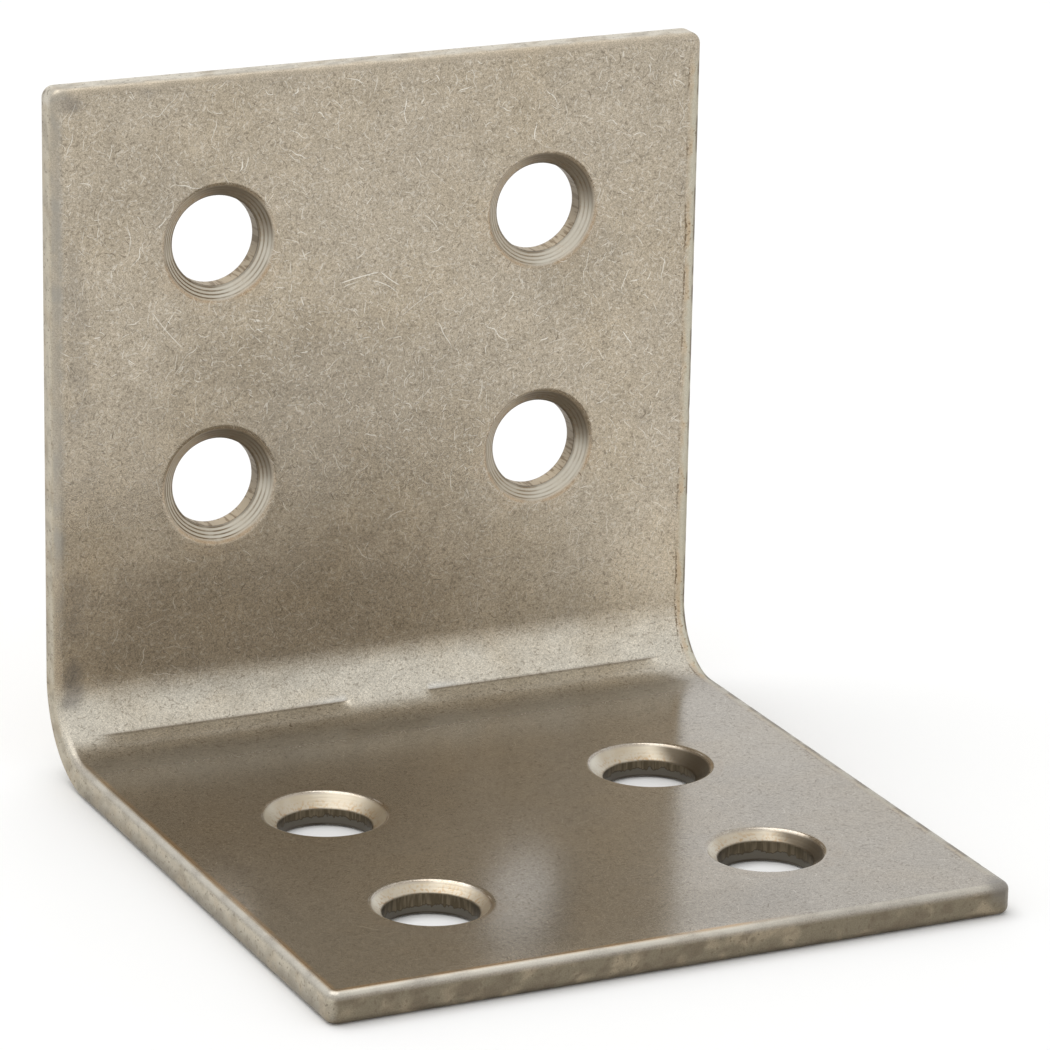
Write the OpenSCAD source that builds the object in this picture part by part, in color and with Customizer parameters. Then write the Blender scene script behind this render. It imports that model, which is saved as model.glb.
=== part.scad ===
// Wide angle bracket: one strip of stainless sheet, punched, countersunk and folded square.
// The base leg lies on Z = 0 and runs to -Y. The back leg stands at +Y, and X runs along the fold.
// The origin is on the underside, in the middle of the bracket's outline seen from above.

/* [Sheet] */
// Thickness of the sheet
sheet_t = 1.8; // [1.4:0.1:3]
// Width of the strip, along the fold
strip_w = 40; // [34:1:80]
// Rounding of the cut edges on the countersunk face
face_edge_r = 0.45; // [0.15:0.05:0.6]
// Rounding of the cut edges on the outer face
outer_edge_r = 0.4; // [0.1:0.05:0.5]
// Radius of the strip's four corners, seen flat
corner_r = 0.7; // [0.7:0.1:4]

/* [Legs] */
// Length of the base leg, from the outer face of the back leg
base_leg = 41; // [36:0.5:80]
// Height of the back leg, from the underside of the base leg
back_leg = 40; // [36:0.5:80]
// Radius on the inside of the fold
fold_r = 3.8; // [1.5:0.1:5]

/* [Screw holes] */
// Diameter of the screw holes
hole_d = 5.2; // [4.6:0.1:6]
// Distance between the two holes of a row
hole_pitch = 20; // [12:0.5:24]
// Distance between the two rows of a leg
row_pitch = 14.2; // [10:0.1:16]
// Distance from a leg's free end to its first row
end_margin = 9.6; // [6:0.1:11]

/* [Countersinks] */
// Full angle of the countersinks' cones
sink_angle = 100; // [80:1:110]
// Diameter of the countersinks on the back leg
back_sink_d = 6.9; // [6.4:0.1:8]
// Diameter of the countersinks in the base leg's row near the fold
inner_sink_d = 7.1; // [6.4:0.1:8]
// Diameter of the countersinks in the base leg's row near its free end
outer_sink_d = 6.6; // [6.4:0.1:8]
// Rounding of the countersinks' rims
rim_r = 0.35; // [0.1:0.05:0.4]
// Rounding of the holes' edges on the outer face
exit_r = 0.25; // [0.05:0.05:0.3]

/* [Creases of the folding punch] */
// Slope of a crease's two flanks against the fold at its middle
crease_flank = 15; // [10:1:20]
// Gap between the two creases, in the middle of the strip
crease_gap = 5.2; // [2:0.1:8]
// Distance from the strip's sides to the creases
crease_margin = 1.9; // [1.5:0.1:4]
// Where the creases lie in the fold: 0 is the base leg's side and 90 the back leg's
crease_angle = 40; // [30:1:60]

/* [Hidden] */
$fn = 96;
steel = [0.62, 0.59, 0.54];
over = 1;
fold_outer_r = fold_r + sheet_t;
// The flanks would touch the fold along its radius at full depth, and cross it just short of that
crease_depth = 0.97 * fold_r * (1 / cos(crease_flank) - 1);
heel_y = base_leg / 2;

// Half of the sheet's section: cut flat at X = 0, both edges rounded at X = reach.
// Y = 0 is the outer face and Y = sheet_t the countersunk one.
module half_section(reach) {
    intersection() {
        square([reach, sheet_t]);
        union() {
            square([reach - outer_edge_r, sheet_t - face_edge_r]);
            translate([0, outer_edge_r])
                square([reach - face_edge_r, sheet_t - outer_edge_r]);
            translate([0, outer_edge_r])
                square([reach, sheet_t - outer_edge_r - face_edge_r]);
            translate([reach - outer_edge_r, outer_edge_r])
                circle(r = outer_edge_r);
            translate([reach - face_edge_r, sheet_t - face_edge_r])
                circle(r = face_edge_r);
        }
    }
}

// The whole section across the strip
module strip_section() {
    half_section(strip_w / 2);
    mirror([1, 0])
        half_section(strip_w / 2);
}

// A flat leg on Z = 0, from the end of the fold to its free end at Y = -length
module blank_leg(length) {
    corner_y = -(length - corner_r);
    translate([0, -fold_outer_r, 0])
        rotate([90, 0, 0])
            linear_extrude(height = length - corner_r - fold_outer_r)
                strip_section();
    translate([0, corner_y, 0])
        rotate([90, 0, -90])
            linear_extrude(height = strip_w - 2 * corner_r, center = true)
                half_section(corner_r);
    for (side = [0, 1])
        mirror([side, 0, 0])
            translate([strip_w / 2 - corner_r, corner_y, 0])
                rotate([0, 0, -90])
                    rotate_extrude(angle = 90)
                        half_section(corner_r);
}

// Half of the outline that the drill and the countersink leave, turned about its Y axis.
// Y = 0 is the outer face. Both ends flare out to the circles that round the hole's two edges.
module hole_outline(sink_d) {
    half_angle = sink_angle / 2;
    hole_r = hole_d / 2;
    sink_r = sink_d / 2;
    sink_depth = (sink_r - hole_r) / tan(half_angle);
    rim_reach = rim_r * tan((90 - half_angle) / 2);
    rim_on_cone = [sink_r - rim_reach * sin(half_angle), sheet_t - rim_reach * cos(half_angle)];
    rim_on_face = [sink_r + rim_reach, sheet_t];
    difference() {
        union() {
            translate([0, -over])
                square([hole_r, sheet_t + over]);
            translate([0, -over])
                square([hole_r + exit_r, over + exit_r]);
            polygon([[0, sheet_t - sink_depth], [hole_r, sheet_t - sink_depth], rim_on_cone, rim_on_face,
                     [rim_on_face[0], sheet_t + over], [0, sheet_t + over]]);
        }
        translate([hole_r + exit_r, exit_r])
            circle(r = exit_r);
        translate([rim_on_face[0], sheet_t - rim_r])
            circle(r = rim_r);
    }
}

// What one screw hole takes away, with its axis on Z and the outer face at Z = 0
module screw_hole(sink_d) {
    rotate_extrude()
        hole_outline(sink_d);
}

// A leg with its two rows of holes: the first row is the one near the free end
module drilled_leg(length, sinks) {
    difference() {
        blank_leg(length);
        for (row = [0, 1])
            for (side = [-1, 1])
                translate([side * hole_pitch / 2, row * row_pitch + end_margin - length, 0])
                    screw_hole(sinks[row]);
    }
}

// The quarter turn of the sheet between the two legs
module plain_fold() {
    rotate([0, 90, 0])
        rotate_extrude(angle = 90)
            translate([fold_outer_r, 0])
                rotate(90)
                    strip_section();
}

// What the punch's nose presses into the fold: a crease on each side of the middle, with two flat
// flanks that meet in its bottom line and run into the fold
module creases() {
    half_w = fold_r * sin(crease_flank);
    flank_h = half_w * tan(crease_flank);
    for (side = [0, 1])
        mirror([side, 0, 0])
            translate([crease_gap / 2, 0, -fold_r - crease_depth])
                rotate([0, 90, 0])
                    linear_extrude(height = (strip_w - crease_gap) / 2 - crease_margin)
                        polygon([[0, 0], [-flank_h, half_w], [-flank_h, -half_w]]);
}

// The fold with the creases pressed into its inside
module fold() {
    translate([0, -fold_outer_r, fold_outer_r])
        difference() {
            plain_fold();
            rotate([crease_angle, 0, 0])
                creases();
        }
}

// The folded sheet: the back leg is a leg mirrored across the fold's bisecting plane
module angle_bracket() {
    color(steel)
        translate([0, heel_y, 0]) {
            drilled_leg(base_leg, [outer_sink_d, inner_sink_d]);
            fold();
            mirror([0, 1, 1])
                drilled_leg(back_leg, [back_sink_d, back_sink_d]);
        }
}

angle_bracket();
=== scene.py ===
"""The looks of a wide angle bracket, built in Blender on the frame of its CAD part.

The bracket is one strip of tumbled stainless sheet with eight countersunk holes. It's modelled flat, as
the blank was before it was folded, and a Geometry Nodes tree then drills, wears and folds it. Every
texture reads the place that a point had on the flat blank, so the finish runs over the fold unbroken.

Lengths in the classes are in millimetres. The finished mesh is in metres, as the frame is.
"""

import logging
import math
from dataclasses import dataclass
from enum import Enum

import bpy
from mathutils import Matrix, Vector


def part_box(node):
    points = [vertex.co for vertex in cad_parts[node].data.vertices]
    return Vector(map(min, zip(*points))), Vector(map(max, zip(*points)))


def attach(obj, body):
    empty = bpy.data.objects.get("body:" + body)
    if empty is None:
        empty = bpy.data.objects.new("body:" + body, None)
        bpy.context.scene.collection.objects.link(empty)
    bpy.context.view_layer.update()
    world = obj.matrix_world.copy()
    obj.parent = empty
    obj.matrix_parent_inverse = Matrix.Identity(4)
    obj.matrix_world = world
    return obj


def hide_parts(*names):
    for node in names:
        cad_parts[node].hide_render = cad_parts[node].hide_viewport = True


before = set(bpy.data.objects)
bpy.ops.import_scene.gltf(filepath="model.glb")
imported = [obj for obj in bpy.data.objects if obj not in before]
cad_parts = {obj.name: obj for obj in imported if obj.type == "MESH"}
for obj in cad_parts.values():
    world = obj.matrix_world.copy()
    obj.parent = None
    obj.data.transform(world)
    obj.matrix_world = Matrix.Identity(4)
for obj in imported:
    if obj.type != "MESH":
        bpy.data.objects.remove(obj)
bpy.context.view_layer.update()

log = logging.getLogger("bracket")

MM = 0.001
NODE = "angle_bracket"
ROWS = ("Base End Row", "Base Fold Row", "Back Fold Row", "Back End Row")
ORIGIN = (0.0, 0.0, 0.0)

Socket = bpy.types.NodeSocket
Value = float | int | bool | str | tuple | Vector | Socket | bpy.types.ID
Colour = tuple[float, float, float, float]
Point = tuple[float, float, float]


# Node trees


class Graph:
    """A node tree that is filled from code. Each method adds one node and returns what it gives."""

    def __init__(self, tree: bpy.types.NodeTree) -> None:
        """Starts on a tree, which may be empty."""
        self.tree = tree

    def feed(self, socket: Socket, value: Value) -> None:
        """Links a result to a socket, or sets the socket's own value."""
        if isinstance(value, Socket):
            self.tree.links.new(value, socket)
        else:
            socket.default_value = value

    def add(self, kind: str, inputs: dict | None = None, **settings: Value) -> bpy.types.Node:
        """Adds a node.

        Args:
            kind: The node's type.
            inputs: Values and results for its sockets, by name or number.
            settings: Its own settings.

        Returns:
            The node.
        """
        node = self.tree.nodes.new(kind)
        for name, value in settings.items():
            setattr(node, name, value)
        for key, value in (inputs or {}).items():
            self.feed(node.inputs[key], value)
        return node

    def get(self, kind: str, inputs: dict | None = None, **settings: Value) -> Socket:
        """Adds a node and returns its first result."""
        return self.add(kind, inputs, **settings).outputs[0]

    def math(self, operation: str, *values: Value, clamp: bool = False) -> Socket:
        """Adds a Math node on up to three values and returns its result."""
        return self.get("ShaderNodeMath", dict(enumerate(values)), operation=operation, use_clamp=clamp)

    def times(self, *factors: Value) -> Socket:
        """Returns the product of several values."""
        product = factors[0]
        for factor in factors[1:]:
            product = self.math("MULTIPLY", product, factor)
        return product

    def plus(self, *terms: Value) -> Socket:
        """Returns the sum of several values."""
        total = terms[0]
        for term in terms[1:]:
            total = self.math("ADD", total, term)
        return total

    def minus(self, a: Value, b: Value) -> Socket:
        """Returns a less b."""
        return self.math("SUBTRACT", a, b)

    def apart(self, a: Value, b: Value) -> Socket:
        """Returns how far two values are apart."""
        return self.math("ABSOLUTE", self.minus(a, b))

    def most(self, a: Value, b: Value) -> Socket:
        """Returns the greater of two values."""
        return self.math("MAXIMUM", a, b)

    def vector(self, operation: str, *values: Value) -> Socket:
        """Adds a Vector Math node and returns its vector, or its number where it gives one."""
        node = self.add("ShaderNodeVectorMath", operation=operation)
        slots = (0, 3) if operation == "SCALE" else (0, 1, 2)
        for slot, value in zip(slots, values):
            self.feed(node.inputs[slot], value)
        return node.outputs[1 if operation in ("LENGTH", "DOT_PRODUCT", "DISTANCE") else 0]

    def split(self, vector: Value) -> tuple[Socket, Socket, Socket]:
        """Returns a vector's three parts."""
        return tuple(self.add("ShaderNodeSeparateXYZ", {0: vector}).outputs)

    def join(self, x: Value = 0.0, y: Value = 0.0, z: Value = 0.0) -> Socket:
        """Returns a vector made of three parts."""
        return self.get("ShaderNodeCombineXYZ", {0: x, 1: y, 2: z})

    def ramp(self, value: Value, start: Value, end: Value, low: Value = 0.0, high: Value = 1.0) -> Socket:
        """Returns a smooth step from low at start to high at end. Start may lie above end."""
        return self.get("ShaderNodeMapRange", {0: value, 1: start, 2: end, 3: low, 4: high},
                        interpolation_type="SMOOTHSTEP")

    def level(self, mask: Value, low: Value, high: Value) -> Socket:
        """Returns low where a mask is 0 and high where it's 1."""
        return self.ramp(mask, 0.0, 1.0, low, high)

    def noise(self, at: Value, scale: Value, detail: Value = 3.0, rough: Value = 0.5,
              warp: Value = 0.0) -> Socket:
        """Returns fractal noise between 0 and 1, with a number of waves per millimetre."""
        return self.get("ShaderNodeTexNoise", {"Vector": at, "Scale": scale, "Detail": detail,
                                               "Roughness": rough, "Distortion": warp})

    def blend(self, factor: Value, a: Value, b: Value, mode: str = "MIX") -> Socket:
        """Returns colour a with colour b mixed in by a factor."""
        node = self.add("ShaderNodeMix", data_type="RGBA", blend_type=mode)
        for slot, value in ((0, factor), (6, a), (7, b)):
            self.feed(node.inputs[slot], value)
        return node.outputs[2]

    def shade(self, colour: Value, factor: Socket) -> Socket:
        """Returns a colour made lighter or darker by a factor."""
        return self.blend(1.0, colour, self.join(factor, factor, factor), "MULTIPLY")

    def use(self, group: "Group", **inputs: Value) -> dict[str, Socket]:
        """Adds a group and returns its results by name. An underscore in an input's name is a space."""
        node = self.add(group.user)
        node.node_tree = group.tree
        for name, value in inputs.items():
            self.feed(node.inputs[name.replace("_", " ")], value)
        return {socket.name: socket for socket in node.outputs}


class Form(Enum):
    """The kinds of socket that the groups have."""

    NUMBER = "NodeSocketFloat"
    VECTOR = "NodeSocketVector"
    SHAPE = "NodeSocketGeometry"
    OBJECT = "NodeSocketObject"
    MATERIAL = "NodeSocketMaterial"


class Group(Graph):
    """A node group with named inputs and results."""

    def __init__(self, name: str, inputs: dict, results: dict[str, Form], shapes: bool = False) -> None:
        """Makes the group's sockets.

        Args:
            name: The group's name.
            inputs: For each input its default, or its form where it has no default.
            results: The form of each result.
            shapes: True for a Geometry Nodes tree.
        """
        super().__init__(bpy.data.node_groups.new(name, "GeometryNodeTree" if shapes else "ShaderNodeTree"))
        self.user = "GeometryNodeGroup" if shapes else "ShaderNodeGroup"
        for label, form in results.items():
            self.tree.interface.new_socket(name=label, in_out="OUTPUT", socket_type=form.value)
        self.keys: dict[str, str] = {}
        for label, default in inputs.items():
            plain = Form.NUMBER if isinstance(default, float) else Form.VECTOR
            form = default if isinstance(default, Form) else plain
            made = self.tree.interface.new_socket(name=label, in_out="INPUT", socket_type=form.value)
            if not isinstance(default, Form):
                made.default_value = default
            self.keys[label] = made.identifier
        self.source = self.tree.nodes.new("NodeGroupInput")
        self.sink = self.tree.nodes.new("NodeGroupOutput")

    def given(self, *names: str) -> Socket | tuple[Socket, ...]:
        """Returns the inputs of these names."""
        found = tuple(self.source.outputs[name] for name in names)
        return found[0] if len(found) == 1 else found

    def give(self, **results: Value) -> None:
        """Hands results out."""
        for name, value in results.items():
            self.feed(self.sink.inputs[name.replace("_", " ")], value)


# The flat blank


class Sketch:
    """A mesh in the making. Points at one place are one vertex, and faces without area are left out."""

    GRAIN = 1e-4
    NO_HOLE = (99.0, 99.0, -999.0)

    def __init__(self) -> None:
        """Starts empty."""
        self.points: list[Point] = []
        self.faces: list[tuple[int, ...]] = []
        self._known: dict[tuple[int, ...], int] = {}

    def point(self, place: Point) -> int:
        """Returns the number of the vertex at a place."""
        key = tuple(round(c / self.GRAIN) for c in place)
        if key not in self._known:
            self._known[key] = len(self.points)
            self.points.append(place)
        return self._known[key]

    def face(self, *places: Point) -> None:
        """Adds a face through places given anticlockwise from outside."""
        corners = tuple(dict.fromkeys(self.point(p) for p in places))
        if len(corners) > 2:
            self.faces.append(corners)

    def strip(self, first: list[Point], second: list[Point]) -> None:
        """Joins two rows of places with a strip of quads."""
        for i in range(len(first) - 1):
            self.face(first[i], first[i + 1], second[i + 1], second[i])

    def build(self, name: str, hole_at: Point | None) -> bpy.types.Object:
        """Makes the mesh's object.

        Args:
            name: The object's name.
            hole_at: The middle of the hole that the mesh is round, or None where it's round no hole.

        Returns:
            The object, with the attribute hole: each point's place seen from the middle of its hole.
        """
        mesh = bpy.data.meshes.new(name)
        mesh.from_pydata(self.points, [], self.faces)
        attribute = mesh.attributes.new("hole", "FLOAT_VECTOR", "POINT")
        middle = Vector(hole_at or ORIGIN)
        for item, place in zip(attribute.data, self.points):
            item.vector = Vector(place) - middle if hole_at else self.NO_HOLE
        made = bpy.data.objects.new(name, mesh)
        bpy.context.scene.collection.objects.link(made)
        return made


def arc(middle: tuple[float, float], radius: float, start: float, end: float,
        steps: int) -> list[tuple[float, float]]:
    """Returns points along an arc, with both ends.

    Args:
        middle: The arc's centre.
        radius: Its radius.
        start: The angle of its first point, in degrees.
        end: The angle of its last point.
        steps: How many straight pieces it has.

    Returns:
        The points.
    """
    turns = [math.radians(start + (end - start) * i / steps) for i in range(steps + 1)]
    return [(middle[0] + radius * math.cos(a), middle[1] + radius * math.sin(a)) for a in turns]


@dataclass(frozen=True)
class HoleTile:
    """A square piece of the blank round one countersunk hole, with the hole's wall.

    The rows are places of the mesh's rings: shares of the way down the cone and the drilled wall, and
    shares of the way from the hole out to the tile's sides on the countersunk face and the outer one.
    """

    CONE_ROWS = (0.06, 0.25, 0.5, 0.75, 0.93, 1.0)
    LAND_ROWS = (0.04, 0.2, 0.4, 0.6, 0.8, 0.96)
    FACE_ROWS = (1.0, 0.8, 0.6, 0.42, 0.26, 0.12, 0.03)
    OUTER_ROWS = (0.03, 0.12, 0.3, 0.5, 0.75, 1.0)
    ROUND_STEPS = 4

    sink_d: float
    hole_d: float = 5.2
    sheet_t: float = 1.8
    cone_half: float = 50.0
    rim_r: float = 0.35
    exit_r: float = 0.25
    side: float = 10.0
    steps: int = 25

    def square(self) -> list[tuple[float, float]]:
        """Returns the points round the tile's outline, anticlockwise and closed."""
        half = self.side / 2
        run = [self.side * i / self.steps - half for i in range(self.steps)]
        east, north = [(half, v) for v in run], [(-v, half) for v in run]
        west, south = [(-half, -v) for v in run], [(v, -half) for v in run]
        return east + north + west + south + [(half, -half)]

    def outline(self) -> list[tuple[float, float]]:
        """Returns radius and height along the hole's wall, from the countersunk face to the outer one."""
        hole_r, sink_r, half = self.hole_d / 2, self.sink_d / 2, math.radians(self.cone_half)
        reach = self.rim_r * math.tan(math.pi / 4 - half / 2)
        rim = arc((sink_r + reach, self.sheet_t - self.rim_r), self.rim_r, 90, 180 - self.cone_half,
                  self.ROUND_STEPS)
        throat = (hole_r, self.sheet_t - (sink_r - hole_r) / math.tan(half))
        cone = [tuple(a + (b - a) * f for a, b in zip(rim[-1], throat)) for f in self.CONE_ROWS]
        drop = throat[1] - self.exit_r
        land = [(hole_r, throat[1] - drop * f) for f in self.LAND_ROWS]
        foot = arc((hole_r + self.exit_r, self.exit_r), self.exit_r, 180, 270, self.ROUND_STEPS)
        return rim + cone + land + foot

    def build(self, name: str) -> bpy.types.Object:
        """Returns the tile's object, with the hole's middle at the origin."""
        sketch = Sketch()
        square = self.square()
        count = 4 * self.steps
        turns = [2 * math.pi * (i / count) - math.pi / 4 for i in range(count + 1)]

        def ring(radius: float, height: float, spread: float = 0.0) -> list[Point]:
            """Returns a ring of points, which spread turns from a circle into the tile's outline."""
            circle = [(radius * math.cos(a), radius * math.sin(a)) for a in turns]
            return [tuple(c + (q - c) * spread for c, q in zip(p, edge)) + (height,)
                    for p, edge in zip(circle, square)]

        wall = self.outline()
        rings = [ring(*wall[0], f) for f in self.FACE_ROWS]
        rings += [ring(*p) for p in wall]
        rings += [ring(*wall[-1], f) for f in self.OUTER_ROWS]
        for outer, inner in zip(rings, rings[1:]):
            sketch.strip(outer, inner)
        return sketch.build(name, ORIGIN)


@dataclass(frozen=True)
class Strip:
    """The strip of sheet before it's folded.

    X runs across it and Y along it, with the fold's middle at Y = 0. Z = 0 is the outer face and
    Z = sheet_t the countersunk one.
    """

    CREASE_SHARE = 0.97
    CREASE_END = 0.12
    CREASE_LINE = 0.05
    EDGE_LEAD = 0.04
    WALL_ROWS = (0.05, 0.35, 0.65, 0.95)
    FACE_STEPS = 7
    OUTER_STEPS = 5

    width: float
    base_leg: float
    back_leg: float
    sheet_t: float = 1.8
    fold_r: float = 3.8
    corner_r: float = 0.7
    face_edge_r: float = 0.45
    outer_edge_r: float = 0.4
    end_margin: float = 9.6
    row_pitch: float = 14.2
    hole_pitch: float = 20.0
    crease_flank: float = 15.0
    crease_gap: float = 5.2
    crease_margin: float = 1.9
    crease_angle: float = 40.0
    cell: float = 0.4
    fold_cell: float = 0.137

    @property
    def arc_length(self) -> float:
        """How much of the strip the fold takes up."""
        return math.radians(90) * (self.fold_r + self.sheet_t / 2)

    @property
    def outer_r(self) -> float:
        """The fold's radius on the outer face."""
        return self.fold_r + self.sheet_t

    @property
    def ends(self) -> tuple[float, float]:
        """Where the strip ends, along Y."""
        flat = self.arc_length / 2 - self.outer_r
        return -(self.base_leg + flat), self.back_leg + flat

    @property
    def rows(self) -> list[float]:
        """Where the rows of holes lie along Y: the two of the base leg, then the two of the back leg."""
        low, high = self.ends
        first, last = low + self.end_margin, high - self.end_margin
        return [first, first + self.row_pitch, last - self.row_pitch, last]

    @property
    def crease_y(self) -> float:
        """Where the creases of the folding punch lie along Y."""
        return (self.crease_angle / 90 - 0.5) * self.arc_length

    @property
    def crease_depth(self) -> float:
        """How deep the creases are, just short of where their flanks would touch the fold."""
        return self.CREASE_SHARE * self.fold_r * (1 / math.cos(math.radians(self.crease_flank)) - 1)

    def columns(self, tile: float) -> list[float]:
        """Returns the grid's lines along X, some of them on the tiles' sides and the creases' ends."""
        crease, hole = self.crease_gap / 2, self.hole_pitch / 2
        right = [crease - self.CREASE_END, crease + self.CREASE_END, hole - tile / 2, hole + tile / 2,
                 self.width / 2 - self.corner_r]
        return self._lines([-x for x in reversed(right)] + right, self.cell)

    def lines(self, tile: float) -> list[float]:
        """Returns the grid's lines along Y, some of them on the tiles' sides and the creases' bottom."""
        (low, high), bend, rows = self.ends, self.arc_length / 2, self.rows
        legs = [[r + d for r in pair for d in (-tile / 2, tile / 2)] for pair in (rows[:2], rows[2:])]
        base = self._lines([low + self.corner_r, *legs[0], -bend], self.cell)
        back = self._lines([bend, *legs[1], high - self.corner_r], self.cell)
        crease = [self.crease_y + d for d in (-self.CREASE_LINE, 0.0, self.CREASE_LINE)]
        return base[:-1] + self._lines([-bend, *crease, bend], self.fold_cell) + back[1:]

    def _lines(self, stops: list[float], cell: float) -> list[float]:
        """Returns the stops with evenly spaced lines between them, about a cell apart."""
        made = []
        for start, end in zip(stops, stops[1:]):
            count = max(1, round((end - start) / cell))
            made += [start + (end - start) * i / count for i in range(count)]
        return made + [stops[-1]]

    def edge_outline(self) -> list[tuple[float, float]]:
        """Returns reach and height round the cut edge, from the countersunk face to the outer one."""
        r, s, t, reach = self.face_edge_r, self.outer_edge_r, self.sheet_t, self.corner_r
        top = arc((reach - r, t - r), r, 90, 0, self.FACE_STEPS)
        wall = [(reach, t - r + (s + r - t) * f) for f in self.WALL_ROWS]
        low = arc((reach - s, s), s, 0, -90, self.OUTER_STEPS)
        first, last = reach - r - self.EDGE_LEAD, reach - s - self.EDGE_LEAD
        return [(0.0, t), (first, t)] + top + wall + low + [(last, 0.0), (0.0, 0.0)]

    def build(self, name: str, tile: float) -> bpy.types.Object:
        """Returns the strip's object, with square openings where the tiles go.

        Args:
            name: The object's name.
            tile: The tiles' side.

        Returns:
            The object.
        """
        sketch = Sketch()
        xs, ys = self.columns(tile), self.lines(tile)
        holes = [(x, y) for x in (-self.hole_pitch / 2, self.hole_pitch / 2) for y in self.rows]
        for x0, x1 in zip(xs, xs[1:]):
            for y0, y1 in zip(ys, ys[1:]):
                x, y = (x0 + x1) / 2, (y0 + y1) / 2
                if any(max(abs(x - h), abs(y - k)) < tile / 2 for h, k in holes):
                    continue
                square = [(x0, y0), (x1, y0), (x1, y1), (x0, y1)]
                sketch.face(*[p + (self.sheet_t,) for p in square])
                sketch.face(*[p + (0.0,) for p in reversed(square)])
        around = self._around(xs, ys)
        edge = self.edge_outline()
        rows = [[(x + reach * u, y + reach * v, z) for x, y, u, v in around] for reach, z in edge]
        for inner, outer in zip(rows, rows[1:]):
            sketch.strip(outer, inner)
        return sketch.build(name, None)

    def _around(self, xs: list[float], ys: list[float], fan: int = 12) -> list[tuple[float, ...]]:
        """Returns the places round the inner rectangle, anticlockwise, with their outward directions."""
        runs = [([(x, ys[0]) for x in xs], -90), ([(xs[-1], y) for y in ys], 0),
                ([(x, ys[-1]) for x in reversed(xs)], 90), ([(xs[0], y) for y in reversed(ys)], 180)]
        made = []
        for places, facing in runs:
            a = math.radians(facing)
            made += [p + (math.cos(a), math.sin(a)) for p in places]
            turns = [math.radians(facing + 90 * i / fan) for i in range(1, fan)]
            made += [places[-1] + (math.cos(b), math.sin(b)) for b in turns]
        return made + made[:1]


# Geometry Nodes


@dataclass(frozen=True)
class Spot:
    """A soft patch at a place of the blank: real dirt on the steel, or a lighter or darker patch of painted
    light and shade that stands in for what the steel mirrors.

    It reaches as far down the cut edges as DEEP says.
    """

    DEEP = 1.6

    x: float
    y: float
    reach: tuple[float, float]
    turn: float = 0.0
    dirt: float = 0.0
    # A factor that paints light and shade: it makes the colour lighter or darker.
    tone: float = 0.0
    ragged: float = 0.5


def hole_row_group() -> Group:
    """Returns the tree that sets one row of hole tiles on the blank."""
    g = Group("hole_row", {"Tile": Form.OBJECT, "Row": 0.0, "Pitch": 20.0}, {"Shape": Form.SHAPE},
              shapes=True)
    tile, row, pitch = g.given("Tile", "Row", "Pitch")
    start = g.join(g.times(pitch, -0.5), row)
    line = g.get("GeometryNodeMeshLine", {"Count": 2, "Start Location": start, "Offset": g.join(pitch)})
    shape = g.add("GeometryNodeObjectInfo", {"Object": tile}).outputs["Geometry"]
    placed = g.get("GeometryNodeInstanceOnPoints", {"Points": line, "Instance": shape})
    g.give(Shape=g.get("GeometryNodeRealizeInstances", {0: placed}))
    return g


def edge_distance(g: Graph, place: Socket, half_width: Value, low: Value, high: Value,
                  corner: Value) -> Socket:
    """Returns how far inside the blank's outline a point lies.

    Args:
        g: The tree to add to.
        place: The point's place on the blank.
        half_width: Half of the strip's width.
        low: Where the strip starts, along Y.
        high: Where it ends.
        corner: The radius of its corners.

    Returns:
        The distance.
    """
    x, y, _ = g.split(place)
    middle = g.times(g.plus(low, high), 0.5)
    half = g.times(g.minus(high, low), 0.5)
    dx = g.minus(g.math("ABSOLUTE", x), g.minus(half_width, corner))
    dy = g.minus(g.apart(y, middle), g.minus(half, corner))
    beyond = g.vector("LENGTH", g.vector("MAXIMUM", g.join(dx, dy), ORIGIN))
    within = g.math("MINIMUM", g.most(dx, dy), 0.0)
    return g.minus(corner, g.plus(beyond, within))


def spot_group() -> Group:
    """Returns the tree of one soft spot with a ragged outline, at a place on the blank."""
    g = Group("spot", {"Place": ORIGIN, "Rough": 0.5, "Middle": ORIGIN, "Reach": (1.0, 1.0, 1.0),
                       "Turn": 0.0, "Ragged": 0.5}, {"Mark": Form.NUMBER}, shapes=True)
    place, rough, middle = g.given("Place", "Rough", "Middle")
    reach, turn, ragged = g.given("Reach", "Turn", "Ragged")
    off = {"Vector": g.vector("SUBTRACT", place, middle), "Angle": turn}
    turned = g.get("ShaderNodeVectorRotate", off, rotation_type="Z_AXIS")
    far = g.vector("LENGTH", g.vector("DIVIDE", turned, reach))
    torn = g.times(g.minus(rough, 0.5), g.times(ragged, 3.0))
    g.give(Mark=g.ramp(g.plus(far, torn), 1.0, 0.35))
    return g


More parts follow.
